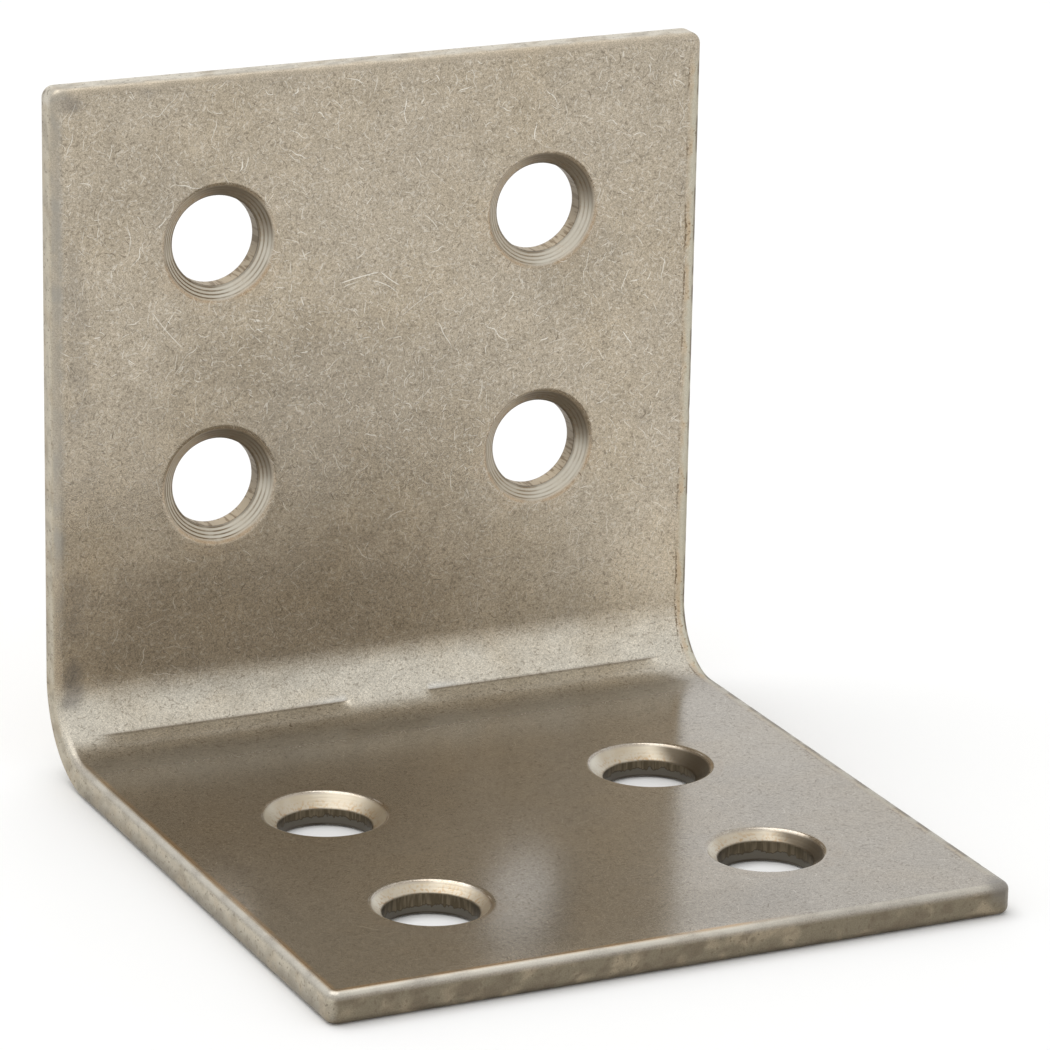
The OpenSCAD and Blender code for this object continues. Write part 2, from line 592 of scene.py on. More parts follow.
def crease_group() -> Group:
    """Returns the tree of the folding punch's creases, which have two flat flanks that meet in a line."""
    g = Group("creases", {"Angle": 0.0, "Side": 0.0, "Radius": 3.8, "Crease Depth": 0.1,
                          "Crease Flank": 0.26, "Crease Start": 2.6, "Crease End": 18.1, "Crease Angle": 0.7},
              {"Depth": Form.NUMBER, "Line": Form.NUMBER, "Flank": Form.NUMBER}, shapes=True)
    angle, side, radius, depth = g.given("Angle", "Side", "Radius", "Crease Depth")
    flank, start, end, middle = g.given("Crease Flank", "Crease Start", "Crease End", "Crease Angle")
    off = g.minus(angle, middle)
    to_foot = g.minus(flank, g.math("MINIMUM", g.math("ABSOLUTE", off), flank))
    foot = g.times(g.plus(radius, depth), g.math("COSINE", flank))
    beyond = g.minus(g.math("DIVIDE", foot, g.math("COSINE", to_foot)), radius)
    there = g.times(g.math("GREATER_THAN", side, start), g.ramp(side, end, g.minus(end, 1.5)))
    inner_end = g.times(there, g.ramp(side, g.plus(start, 3.5), start))
    upper = g.times(g.ramp(off, 0.0, 0.012), g.ramp(off, 0.14, 0.02))
    g.give(Depth=g.times(g.most(beyond, 0.0), there), Flank=g.times(upper, inner_end),
           Line=g.times(there, g.ramp(g.math("ABSOLUTE", off), 0.02, 0.0)))
    return g


def fold_group(row_group: Group, strip: Strip, spots: tuple[Spot, ...]) -> Group:
    """Returns the tree that turns the blank into the bracket.

    It sets the hole tiles in, wears the surface down a little, presses the folding punch's creases in and
    bends the sheet. Everything it does to the surface goes inwards, so the bracket stays in its box.

    Args:
        row_group: The tree of one row of holes.
        strip: The strip's sizes, for the inputs' defaults.
        spots: The stains on it.

    Returns:
        The tree.
    """
    g = Group("folded_sheet", {
        "Blank": Form.SHAPE, **{f"{r} Tile": Form.OBJECT for r in ROWS}, "Finish": Form.MATERIAL,
        **dict(zip(ROWS, strip.rows)), "Hole Pitch": strip.hole_pitch, "Half Width": strip.width / 2,
        "Strip Start": strip.ends[0], "Strip End": strip.ends[1], "Corner Radius": strip.corner_r,
        "Outer Radius": strip.outer_r, "Fold Length": strip.arc_length,
        "Fold Y": strip.base_leg / 2 - strip.outer_r,
        "Crease Depth": strip.crease_depth, "Crease Flank": math.radians(strip.crease_flank),
        "Crease Start": strip.crease_gap / 2, "Crease End": strip.width / 2 - strip.crease_margin,
        "Crease Angle": math.radians(strip.crease_angle), "Wave Depth": 0.01, "Nick Depth": 0.04,
        "Weld": 0.004, "Scale": MM}, {"Shape": Form.SHAPE}, shapes=True)

    parts = [g.given("Blank")]
    for row in ROWS:
        made = g.use(row_group, Tile=g.given(f"{row} Tile"), Row=g.given(row), Pitch=g.given("Hole Pitch"))
        parts.append(made["Shape"])
    joined = g.add("GeometryNodeJoinGeometry")
    for part in parts:
        g.tree.links.new(part, joined.inputs[0])
    shape = g.get("GeometryNodeMergeByDistance", {"Geometry": joined.outputs[0], "Distance": g.given("Weld")})

    def store(name: str, kind: str, value: Socket, domain: str = "POINT") -> None:
        """Keeps a value on the shape as a named attribute."""
        nonlocal shape
        shape = g.get("GeometryNodeStoreNamedAttribute", {"Geometry": shape, "Name": name, "Value": value},
                      data_type=kind, domain=domain)

    place = g.get("GeometryNodeInputPosition")
    edge = edge_distance(g, place, *g.given("Half Width", "Strip Start", "Strip End", "Corner Radius"))
    store("blank", "FLOAT_VECTOR", place)
    store("edge", "FLOAT", edge)
    store("UVMap", "FLOAT2", g.vector("MULTIPLY_ADD", place, (0.01, 0.01, 0.0), (0.5, 0.5, 0.0)), "CORNER")
    store("tint", "FLOAT", g.noise(g.vector("ADD", place, (0.0, 17.0, 3.0)), 0.16, 4.0, 0.6, 0.4))
    rough = g.noise(place, 0.7, 4.0, 0.6)
    store("patches", "FLOAT", rough)
    store("grime", "FLOAT", g.noise(g.vector("MULTIPLY", place, (1.0, 1.0, 1.6)), 0.8, 3.0, 0.7))
    # Each spot adds real dirt and a lighter or darker factor, and that factor is painted light and shade.
    spot, dirt, tone = spot_group(), 0.0, 1.0
    for s in spots:
        mark = g.use(spot, Place=place, Rough=rough, Middle=(s.x, s.y, strip.sheet_t),
                     Reach=(*s.reach, s.DEEP), Turn=s.turn, Ragged=s.ragged)["Mark"]
        dirt = g.math("MULTIPLY_ADD", mark, s.dirt, dirt)
        tone = g.math("MULTIPLY_ADD", mark, s.tone, tone)
    store("dirt", "FLOAT", dirt)
    store("tone", "FLOAT", tone)

    normal = g.get("GeometryNodeInputNormal")
    waves = g.noise(place, 0.085, 1.0)
    ripple = g.noise(g.vector("ADD", place, (40.0, 7.0, 0.0)), 0.45, 1.0)
    chips = g.ramp(g.noise(place, 0.75, 1.0), 0.7, 0.78)
    small_chips = g.ramp(g.noise(g.vector("ADD", place, (13.0, 0.0, 5.0)), 1.7, 0.0), 0.74, 0.82)
    near_edge = g.ramp(edge, 0.55, 0.1)
    wave_depth, nick_depth = g.given("Wave Depth", "Nick Depth")
    worn = g.times(g.math("MULTIPLY_ADD", ripple, 0.22, waves), wave_depth)
    chip = g.times(g.math("MULTIPLY_ADD", small_chips, 0.6, chips), near_edge, nick_depth)

    outer, fold_y, bend = g.given("Outer Radius", "Fold Y", "Fold Length")
    half_bend = g.times(bend, 0.5)

    def turned(along: Socket) -> Socket:
        """Returns how far the sheet has turned at a place along Y, in radians."""
        return g.times(g.math("DIVIDE", g.plus(along, half_bend), bend, clamp=True), math.pi / 2)

    x, y, z = g.split(place)
    crease = g.use(crease_group(), Angle=turned(y), Side=g.math("ABSOLUTE", x), Radius=g.minus(outer, z),
                   **{n: g.given(n) for n in ("Crease Depth", "Crease Flank", "Crease Start", "Crease End",
                                              "Crease Angle")})
    inside = g.ramp(z, strip.sheet_t - 0.4, strip.sheet_t - 0.1)
    # The finish paints shade along the crease lines and a highlight on the pressed flanks.
    store("crease", "FLOAT", g.times(crease["Line"], inside))
    store("flank", "FLOAT", g.times(crease["Flank"], inside))
    depth = g.plus(worn, chip, g.times(crease["Depth"], inside))

    x, y, z = g.split(g.vector("SUBTRACT", place, g.vector("SCALE", normal, depth)))
    before = g.math("MINIMUM", g.plus(y, half_bend), 0.0)
    after = g.most(g.minus(y, half_bend), 0.0)
    radius, angle = g.minus(outer, z), turned(y)
    bent_y = g.plus(fold_y, before, g.times(radius, g.math("SINE", angle)))
    bent_z = g.minus(g.plus(outer, after), g.times(radius, g.math("COSINE", angle)))
    folded = g.vector("SCALE", g.join(x, bent_y, bent_z), g.given("Scale"))
    shape = g.get("GeometryNodeSetPosition", {"Geometry": shape, "Position": folded})
    shape = g.get("GeometryNodeSetShadeSmooth", {"Geometry": shape})
    shape = g.get("GeometryNodeRealizeInstances", {0: shape})
    g.give(Shape=g.get("GeometryNodeSetMaterial", {"Geometry": shape, "Material": g.given("Finish")}))
    return g


# The finish


def stroke_group() -> Group:
    """Returns the group that draws one short scratch in each cell, each at an angle of its own.

    Length and Width are in millimetres, Cells is how many cells there are per millimetre, and Share is how
    many of the cells have a scratch.
    """
    g = Group("scratches", {"Place": ORIGIN, "Shift": ORIGIN, "Cells": 1.0, "Length": 1.0, "Width": 0.04,
                            "Curl": 0.5, "Share": 1.0}, {"Mark": Form.NUMBER})
    at = g.vector("ADD", *g.given("Place", "Shift"))
    cell = g.add("ShaderNodeTexVoronoi", {"Vector": at, "Scale": g.given("Cells")}, voronoi_dimensions="2D")
    r1, r2, r3 = g.add("ShaderNodeSeparateColor", {0: cell.outputs["Color"]}).outputs
    x, y, _ = g.split(g.vector("SUBTRACT", at, cell.outputs["Position"]))
    turn = g.times(r1, 2 * math.pi)
    c, s = g.math("COSINE", turn), g.math("SINE", turn)
    u = g.plus(g.times(x, c), g.times(y, s))
    v = g.minus(g.times(y, c), g.times(x, s))
    curl = g.times(g.minus(r2, 0.5), g.given("Curl"))
    off = g.apart(v, g.times(curl, g.times(u, u)))
    half = g.times(g.given("Length"), g.math("MULTIPLY_ADD", r3, 0.35, 0.15))
    taper = g.ramp(g.math("ABSOLUTE", u), half, g.times(half, 0.3))
    width = g.times(g.given("Width"), taper, g.math("MULTIPLY_ADD", r2, 0.5, 0.5))
    line = g.times(g.ramp(off, width, g.times(width, 0.25)), taper)
    there = g.math("LESS_THAN", g.math("FRACT", g.times(r3, 7.31)), g.given("Share"))
    faint = g.math("FRACT", g.times(r1, 5.17))
    g.give(Mark=g.times(line, there, g.math("MULTIPLY_ADD", g.times(faint, faint), 0.75, 0.25)))
    return g


def line_group() -> Group:
    """Returns the group of one thin scratch from one place of the blank to another, bowed to its left."""
    g = Group("scratch_line", {"Place": ORIGIN, "From": ORIGIN, "To": (1.0, 0.0, 0.0), "Bow": 0.0,
                               "Width": 0.03}, {"Mark": Form.NUMBER})
    place, start, end, bow, width = g.given("Place", "From", "To", "Bow", "Width")
    run = g.vector("SUBTRACT", end, start)
    x, y, _ = g.split(run)
    length = g.vector("LENGTH", run)
    at = g.vector("SUBTRACT", place, start)
    along = g.math("DIVIDE", g.vector("DOT_PRODUCT", at, run), g.times(length, length))
    side = g.math("DIVIDE", g.vector("DOT_PRODUCT", at, g.join(g.times(y, -1.0), x)), length)
    hump = g.times(along, 4.0, g.minus(1.0, along))
    off = g.apart(side, g.times(hump, bow))
    within = g.ramp(g.apart(along, 0.5), 0.5, 0.35)
    g.give(Mark=g.times(g.ramp(off, width, g.times(width, 0.3)), within))
    return g


@dataclass(frozen=True)
class Scratches:
    """One layer of short scratches: sizes in millimetres, with its cells per millimetre."""

    cells: float
    length: float
    width: float
    curl: float
    share: float
    strength: float
    shift: tuple[float, float]


@dataclass(frozen=True)
class Scratch:
    """One long light scratch at a place of the blank."""

    start: tuple[float, float]
    end: tuple[float, float]
    bow: float = 0.0
    strength: float = 0.6
    width: float = 0.04


def skin_group(light: tuple[Scratches, ...], dark: Scratches) -> Group:
    """Returns the group of the tumbled skin: grain, short curly scratches and specks.

    Args:
        light: The layers of light scratches.
        dark: The layer of dark ones.

    Returns:
        The group.
    """
    results = ("Height", "Grain", "Light", "Dark", "Speck", "Pit")
    g = Group("tumbled_skin", {"Place": ORIGIN, "Grain Height": 0.004, "Drift": 0.8},
              dict.fromkeys(results, Form.NUMBER))
    place, strokes = g.given("Place"), stroke_group()
    bent = g.add("ShaderNodeTexNoise", {"Vector": place, "Scale": 0.95, "Detail": 1.0}).outputs["Color"]
    curly = g.vector("ADD", place, g.vector("SCALE", bent, g.given("Drift")))

    def layer(s: Scratches) -> Socket:
        """Returns the marks of one layer of scratches."""
        mark = g.use(strokes, Place=curly, Shift=(*s.shift, 0.0), Cells=s.cells, Length=s.length,
                     Width=s.width, Curl=s.curl, Share=s.share)["Mark"]
        return g.times(mark, s.strength)

    marks = layer(light[0])
    for scratches in light[1:]:
        marks = g.most(marks, layer(scratches))
    grain = g.noise(place, 13.0, 2.0, 0.8)
    speck = g.noise(g.vector("ADD", place, (31.0, 5.0, 0.0)), 5.2, 0.0)
    g.give(Height=g.times(grain, g.given("Grain Height")), Grain=grain, Light=marks, Dark=layer(dark),
           Speck=g.ramp(speck, 0.66, 0.76), Pit=g.ramp(speck, 0.33, 0.24))
    return g


def hole_wall_group() -> Group:
    """Returns the group of a countersink's and hole's own marks.

    Hole is the place seen from the hole's middle, with its height over the outer face, and Place is the
    place on the blank, which makes the holes differ. Pitch is from one furrow of the cutter to the next.
    """
    results = ("Cone", "Land", "Groove", "Ring", "Rim", "Streak", "Break", "Torn", "Across", "Along", "Out")
    g = Group("hole_wall", {"Hole": Sketch.NO_HOLE, "Place": ORIGIN, "Patches": 0.5, "Radius": 2.6,
                            "Sheet": 1.8, "Pitch": 0.15}, dict.fromkeys(results, Form.NUMBER))
    hole, place, patches = g.given("Hole", "Place", "Patches")
    radius, sheet, pitch = g.given("Radius", "Sheet", "Pitch")
    hx, hy, height = g.split(hole)
    out = g.minus(g.vector("LENGTH", g.join(hx, hy)), radius)
    sunk = g.minus(sheet, height)
    near = g.times(g.math("LESS_THAN", out, 1.6), g.math("GREATER_THAN", height, -0.5))
    deep = g.times(g.ramp(sunk, 0.04, 0.2), g.ramp(height, 0.3, 0.45), near)
    wave = g.math("SINE", g.math("DIVIDE", g.times(sunk, 2 * math.pi), pitch))
    turned = g.math("MULTIPLY_ADD", wave, 0.5, 0.5)
    streak = g.noise(g.vector("MULTIPLY", place, (1.0, 1.0, 0.12)), 6.0, 1.0, 0.6)
    torn = g.noise(g.vector("MULTIPLY", place, (1.0, 1.0, 0.5)), 2.2, 2.0, 0.75)
    line = g.math("MULTIPLY_ADD", torn, 0.8, height)
    g.give(Cone=g.times(g.ramp(out, 0.0, 0.04), deep), Land=g.times(g.ramp(out, 0.04, 0.01), near),
           Groove=g.times(g.math("POWER", turned, 2.6), g.ramp(patches, 0.36, 0.56, 0.4, 1.0)),
           Ring=g.times(g.ramp(out, 0.12, 0.03), g.ramp(out, 0.002, 0.015), near),
           Rim=g.times(g.ramp(sunk, 0.2, 0.06), g.ramp(sunk, -0.01, 0.03), near),
           Streak=streak, Break=g.ramp(g.apart(line, 1.0), 0.06, 0.015), Torn=g.ramp(line, 1.02, 0.96),
           Across=g.math("DIVIDE", hx, radius), Along=g.math("DIVIDE", hy, radius), Out=out)
    return g


@dataclass(frozen=True)
class Reading:
    """What the steel's shader knows of a point, with its place on the blank.

    Leg runs from 0 on the base leg to 1 on the back leg. So does on_back, but lower down in the fold.
    """

    place: Socket
    x: Socket
    y: Socket
    z: Socket
    edge: Socket
    patches: Socket
    tint: Socket
    grime: Socket
    dirt: Socket
    # Painted light and shade from the spots, as a factor on the colour.
    tone: Socket
    crease: Socket
    flank: Socket
    leg: Socket
    on_back: Socket
    in_hole: Socket
    skin: dict[str, Socket]
    wall: dict[str, Socket]


@dataclass(frozen=True)
class TumbledSteel:
    """Pickled and tumbled stainless sheet with the brown tints and dark smudges of handling, and with painted
    light and shade: parts of its colour stand in for the light, shade and reflections on the steel.

    Its pairs of numbers are strengths on the base leg and on the back leg.
    """

    NUMBERS = ("edge", "patches", "tint", "grime", "dirt", "tone", "crease", "flank")
    TINTED = (0.18, 0.4)
    GRAINY = (1.4, 1.9)
    CLOUDED = (0.15, 0.42)
    SCRATCHED = (0.8, 1.12)
    FURROWS = (-0.003, -0.014)
    THROAT = (0.9, 0.6)
    SPECKLED = 0.22
    PITTED = 0.4
    # Strength of the pale colour on the pressed flanks, partly a painted highlight.
    PRESSED_HIGHLIGHT = 0.45
    # Strength of the painted shade along the creases.
    CREASE_SHADE = 0.9
    MOST_DIRT = 0.9
    SCRATCH_ROUGHNESS = 0.12
    EDGE_ROUGHNESS = 0.24

    light_scratches: tuple[Scratches, ...]
    dark_scratches: Scratches
    long_scratches: tuple[Scratch, ...] = ()
    name: str = "tumbled_steel"
    # The base leg's colour is a darker, cooler copy of the back leg's: painted shade for what the base leg
    # mirrors.
    base: Colour = (0.373, 0.343, 0.299, 1.0)
    back: Colour = (0.452, 0.392, 0.306, 1.0)
    bend: Colour = (0.61, 0.57, 0.485, 1.0)
    tinted: Colour = (0.43, 0.355, 0.25, 1.0)
    light: Colour = (0.90, 0.86, 0.77, 1.0)
    dark: Colour = (0.15, 0.12, 0.085, 1.0)
    rust: Colour = (0.38, 0.24, 0.12, 1.0)
    lip: Colour = (0.56, 0.40, 0.24, 1.0)
    dirt: Colour = (0.16, 0.15, 0.14, 1.0)
    burnt: Colour = (0.15, 0.10, 0.05, 1.0)
    # Cream: a painted highlight on rounded rims and on the lit sides of the countersinks, and the pale colour
    # between the cutter's furrows.
    cream_and_highlight: Colour = (0.66, 0.63, 0.55, 1.0)
    # A pale colour for the pressed flanks: partly their burnish, partly a painted highlight.
    pressed_highlight: Colour = (0.72, 0.72, 0.70, 1.0)
    base_cone: Colour = (0.485, 0.43, 0.34, 1.0)
    back_cone: Colour = (0.43, 0.36, 0.265, 1.0)
    cut_land: Colour = (0.10, 0.08, 0.052, 1.0)
    torn_land: Colour = (0.135, 0.122, 0.10, 1.0)
    # Near black: dark torn lines in the holes, a dark ring at the throats, and painted shade on the holes'
    # shaded sides.
    near_black_and_shade: Colour = (0.075, 0.06, 0.042, 1.0)
    # Painted shade for the rounded rim on the back leg's left side.
    rounding_shade: Colour = (0.36, 0.34, 0.30, 1.0)
    # The front end's cut colour is dark: partly its rough sheared steel, partly painted shade for the
    # shadowed floor in front that it mirrors.
    shaded_front_cut: Colour = (0.205, 0.175, 0.125, 1.0)
    side_cut: Colour = (0.52, 0.47, 0.375, 1.0)
    side_low: Colour = (0.28, 0.25, 0.20, 1.0)
    # Painted light: a lighter colour for the cut edge at the back leg's top end, which faces up to the lamp.
    lit_top_cut: Colour = (0.60, 0.56, 0.48, 1.0)
    far_rim: Colour = (0.56, 0.54, 0.44, 1.0)
    # A browner hue for the painted reflection of the base leg on the back leg.
    painted_reflection_hue: Colour = (1.01, 0.97, 0.91, 1.0)

    def build(self, strip: Strip) -> bpy.types.Material:
        """Returns the material.

        Args:
            strip: The blank that it covers, for its sizes.

        Returns:
            The material.
        """
        material = bpy.data.materials.new(self.name)
        material.use_nodes = True
        material.node_tree.nodes.clear()
        g = Graph(material.node_tree)
        at = self._read(g, strip)
        lit, sunk = self._scratches(g, at, strip)
        colour = self._sheet(g, at)
        colour = g.blend(lit, colour, self.light)
        colour = g.blend(sunk, colour, self.dark)
        # The pressed flank gets a pale colour: partly its burnish, partly a painted highlight.
        colour = g.blend(g.times(at.flank, self.PRESSED_HIGHLIGHT), colour, self.pressed_highlight)
        # Painted shade: a dark line along each crease.
        colour = g.blend(g.times(at.crease, self.CREASE_SHADE), colour, self.dark)
        colour = self._edges(g, at, strip, colour)
        colour = self._far_rim(g, at, strip, colour)
        colour = self._holes(g, at, colour)
        colour = g.blend(g.math("MINIMUM", at.dirt, self.MOST_DIRT), colour, self.dirt)
        normal = g.get("ShaderNodeBump", {"Strength": 1.0, "Distance": MM, "Height": self._height(g, at)})
        roughness = self._roughness(g, at, lit)
        steel = g.get("ShaderNodeBsdfPrincipled", {"Base Color": colour, "Roughness": roughness,
                                                   "Metallic": 1.0, "Normal": normal})
        g.add("ShaderNodeOutputMaterial", {"Surface": steel})
        return material

    def _read(self, g: Graph, strip: Strip) -> Reading:
        """Reads the sheet's attributes, and the skin's and the hole walls' marks."""
        def kept(name: str, part: str = "Fac") -> Socket:
            """Returns one of the sheet's attributes."""
            return g.add("ShaderNodeAttribute", attribute_name=name).outputs[part]

        place, numbers = kept("blank", "Vector"), {name: kept(name) for name in self.NUMBERS}
        x, y, z = g.split(place)
        skin = g.use(skin_group(self.light_scratches, self.dark_scratches), Place=place)
        wall = g.use(hole_wall_group(), Hole=kept("hole", "Vector"), Place=place, Patches=numbers["patches"],
                     Sheet=strip.sheet_t)
        return Reading(place=place, x=x, y=y, z=z, leg=g.ramp(y, -4.5, 4.0), on_back=g.ramp(y, -6.0, -1.0),
                       in_hole=g.most(wall["Cone"], wall["Land"]), skin=skin, wall=wall, **numbers)

    def _sheet(self, g: Graph, at: Reading) -> Socket:
        """Returns the colour of the plain sheet: paler in the fold, brown in places, grainy and clouded, with
        painted shade on the base leg, a painted reflection low on the back leg and the spots' painted light
        and shade.
        """
        # Painted shade: the base leg gets the darker, cooler copy of the steel's colour.
        colour = g.blend(at.leg, self.base, self.back)
        colour = g.blend(g.ramp(g.apart(at.y, 0.4), 3.6, 1.2, 0.0, 0.8), colour, self.bend)
        tinted = g.times(g.ramp(at.tint, 0.4, 0.7), g.level(at.leg, *self.TINTED))
        colour = g.blend(tinted, colour, self.tinted)
        # Painted reflection: the colour is made browner low on the back leg's left, where the base leg is
        # mirrored.
        painted_reflection_area = g.times(g.ramp(at.y, 15.0, 6.0), g.ramp(at.y, 1.5, 4.5), g.ramp(at.x, 12.0, 0.0))
        colour = g.blend(painted_reflection_area, colour, self.painted_reflection_hue, "MULTIPLY")
        grain = g.math("MULTIPLY_ADD", g.minus(at.skin["Grain"], 0.5), g.level(at.on_back, *self.GRAINY), 1.0)
        clouds = g.times(g.minus(at.patches, 0.5), g.level(at.on_back, *self.CLOUDED))
        # The spots' painted light and shade lighten or darken the colour here.
        return g.shade(colour, g.times(grain, g.plus(clouds, 1.0), at.tone))

    def _scratches(self, g: Graph, at: Reading, strip: Strip) -> tuple[Socket, Socket]:
        """Returns how light scratches and specks, and dark scratches and pits, mark the sheet's faces."""
        light, line = at.skin["Light"], line_group()
        for s in self.long_scratches:
            mark = g.use(line, Place=at.place, From=(*s.start, strip.sheet_t), To=(*s.end, strip.sheet_t),
                         Bow=s.bow, Width=s.width)["Mark"]
            light = g.most(light, g.times(mark, s.strength))
        face = g.times(g.minus(1.0, at.in_hole), g.ramp(at.edge, 0.2, 0.5))
        calmer = g.ramp(g.math("MULTIPLY_ADD", at.x, 0.35, at.y), 18.0, 6.0, 1.0, 0.5)
        light = g.most(light, g.times(at.skin["Speck"], self.SPECKLED))
        dark = g.most(at.skin["Dark"], g.times(at.skin["Pit"], self.PITTED))
        return g.times(light, face, g.level(at.on_back, *self.SCRATCHED), calmer), g.times(dark, face)

    def _roughness(self, g: Graph, at: Reading, lit: Socket) -> Socket:
        """Returns the roughness: low on the base leg, higher in the fold, the holes and on worn edges."""
        legs = (g.ramp(at.y, -7.0, -4.0, 0.18, 0.30), g.ramp(at.y, 0.5, 3.5, 0.0, 0.11),
                g.ramp(at.y, 8.0, 14.0, 0.0, -0.16))
        worn = g.times(g.most(g.ramp(at.edge, 0.5, 0.3), at.in_hole), self.EDGE_ROUGHNESS)
        return g.plus(*legs, g.times(lit, self.SCRATCH_ROUGHNESS), worn)

    def _height(self, g: Graph, at: Reading) -> Socket:
        """Returns the height of the skin's grain and of the countersinks' furrows, in millimetres."""
        skin = g.times(at.skin["Height"], g.ramp(at.y, -6.5, -1.0, 0.3, 1.0))
        return g.plus(skin, g.times(at.wall["Groove"], at.wall["Cone"], g.level(at.leg, *self.FURROWS)))

    def _edges(self, g: Graph, at: Reading, strip: Strip, colour: Socket) -> Socket:
        """Adds the colours of the cut edges and of the rounded rims beside them, with a painted highlight on
        the base leg's rounded rims and the back leg's top edge, painted shade on the back leg's left rim, and
        a dark front edge that is partly painted shade.

        Args:
            g: The material's tree.
            at: What is known of the point.
            strip: The blank's sizes.
            colour: The colour so far.

        Returns:
            The colour with the edges.
        """
        x, y, z, edge, patches = at.x, at.y, at.z, at.edge, at.patches
        top, (low, high), half = strip.sheet_t, strip.ends, strip.width / 2
        on_base, right = g.ramp(y, -2.0, -6.0), g.ramp(x, 3.0, 8.0)

        # Painted highlight: a cream band on the rounded rim along the base leg's edges, weaker on its right
        # side.
        rolled = g.times(g.ramp(edge, 0.5, 0.4), g.ramp(z, top - 0.3, top - 0.15))
        pale = g.times(rolled, g.ramp(patches, 0.3, 0.6, 0.15, 0.55), g.level(right, 1.0, 0.5), on_base)
        colour = g.blend(pale, colour, self.cream_and_highlight)
        # Painted shade: the rounded rim on the back leg's left side is darkened.
        shaded_left_rounding = g.times(g.ramp(edge, 0.8, 0.4), g.ramp(x, -18.6, -19.3), g.ramp(y, 4.0, 12.0),
                         g.ramp(z, top - 0.4, top - 0.2), g.ramp(patches, 0.35, 0.6, 0.75, 0.3))
        colour = g.blend(shaded_left_rounding, colour, self.rounding_shade)
        lip = g.times(g.ramp(g.apart(edge, 0.5), 0.26, 0.03), on_base, g.minus(1.0, right),
                      g.ramp(patches, 0.35, 0.6, 0.35, 0.8))
        colour = g.blend(lip, colour, self.lip)

        # The front end's cut edge gets a dark colour: partly its rough sheared steel, partly painted shade.
        front = g.times(g.ramp(y, low + 1.6, low + 0.5),
                        g.ramp(g.math("ABSOLUTE", x), half - 0.1, half - 0.6))
        low_down = g.times(g.ramp(z, top - 0.4, 0.3), g.level(on_base, 0.2, 1.0))
        side = g.blend(low_down, self.side_cut, self.side_low)
        # Painted light: the cut edge at the back leg's top end is lighter.
        cut = g.blend(g.ramp(y, high - 1.2, high - 0.6), side, self.lit_top_cut)
        cut = g.blend(front, cut, self.shaded_front_cut)
        cut = g.blend(g.ramp(patches, 0.48, 0.62, 0.0, 0.45), cut, self.tinted)
        smeared = g.times(g.ramp(at.grime, 0.46, 0.6, 0.0, 0.6), g.level(front, 0.5, 1.0))
        cut = g.blend(smeared, cut, self.dark)
        cut = g.shade(cut, g.ramp(at.skin["Grain"], 0.25, 0.75, 0.85, 1.15))
        cut = g.blend(g.times(at.skin["Pit"], 0.6), cut, self.dark)
        thick = g.times(g.ramp(edge, 0.3, 0.08), g.ramp(z, top - 0.1, top - 0.5))
        return g.blend(thick, colour, cut)

    def _far_rim(self, g: Graph, at: Reading, strip: Strip, colour: Socket) -> Socket:
        """Adds the pale rim on the strip's right side, with its ragged tan stain and broken dark lines.

        Args:
            g: The material's tree.
            at: What is known of the point.
            strip: The blank's sizes.
            colour: The colour so far.

        Returns:
            The colour with the rim.
        """
        edge, patches, streak = at.edge, at.patches, at.wall["Streak"]
        top, (low, high) = strip.sheet_t, strip.ends
        there = g.times(g.ramp(at.x, 17.0, 17.6), g.ramp(at.z, top - 0.45, top - 0.3),
                        g.ramp(at.y, low + 0.7, low + 2.4), g.ramp(at.y, high - 0.7, high - 2.4))
        ragged = g.math("MULTIPLY_ADD", g.minus(patches, 0.5), 0.55, edge)
        ragged = g.math("MULTIPLY_ADD", g.minus(streak, 0.5), 0.22, ragged)

        def line(middle: float, reach: float) -> Socket:
            """Returns a ragged line that runs along the side."""
            return g.ramp(g.apart(ragged, middle), reach, reach * 0.3)

        pale = g.times(g.ramp(ragged, 0.75, 0.5), there, g.level(at.on_back, 0.3, 0.6))
        colour = g.blend(pale, colour, self.far_rim)
        stain = g.times(line(0.62, 0.22), there, g.ramp(patches, 0.45, 0.62, 0.2, 0.7))
        colour = g.blend(stain, colour, g.blend(g.times(at.on_back, 0.6), self.tinted, self.lip))
        flecks = g.times(g.ramp(edge, 2.0, 0.8), g.ramp(streak, 0.6, 0.7, 0.0, 0.6),
                         g.ramp(patches, 0.45, 0.6), there)
        cracks = g.times(line(0.85, 0.075), there, g.ramp(patches, 0.45, 0.58, 0.05, 0.85),
                         g.ramp(streak, 0.4, 0.55, 0.4, 1.0), g.level(at.on_back, 0.6, 1.0))
        colour = g.blend(g.most(flecks, cracks), colour, self.burnt)
        outline = g.ramp(edge, g.level(at.on_back, 0.6, 0.32), g.level(at.on_back, 0.4, 0.18))
        return g.blend(g.times(outline, g.ramp(patches, 0.42, 0.56, 0.15, 0.85), there), colour, self.dark)

    def _holes(self, g: Graph, at: Reading, colour: Socket) -> Socket:
        """Adds the colours of the countersinks and of the drilled walls below them, with painted highlights
        on their lit sides and painted shade on their shaded sides.

        Args:
            g: The material's tree.
            at: What is known of the point.
            colour: The colour so far.

        Returns:
            The colour with the holes.
        """
        wall, patches, leg = at.wall, at.patches, at.leg
        across, along, right = wall["Across"], wall["Along"], g.ramp(at.x, 0.5, 1.5)
        off_leg = g.minus(1.0, leg)
        lower_left, lower_right = g.plus(across, along), g.minus(across, along)
        upper_right = g.plus(across, g.times(along, 1.4))
        fleck = g.ramp(wall["Streak"], 0.5, 0.62)

        cone = g.blend(leg, self.base_cone, self.back_cone)
        cone = g.blend(g.ramp(patches, 0.45, 0.65, 0.0, 0.5), cone, self.tinted)
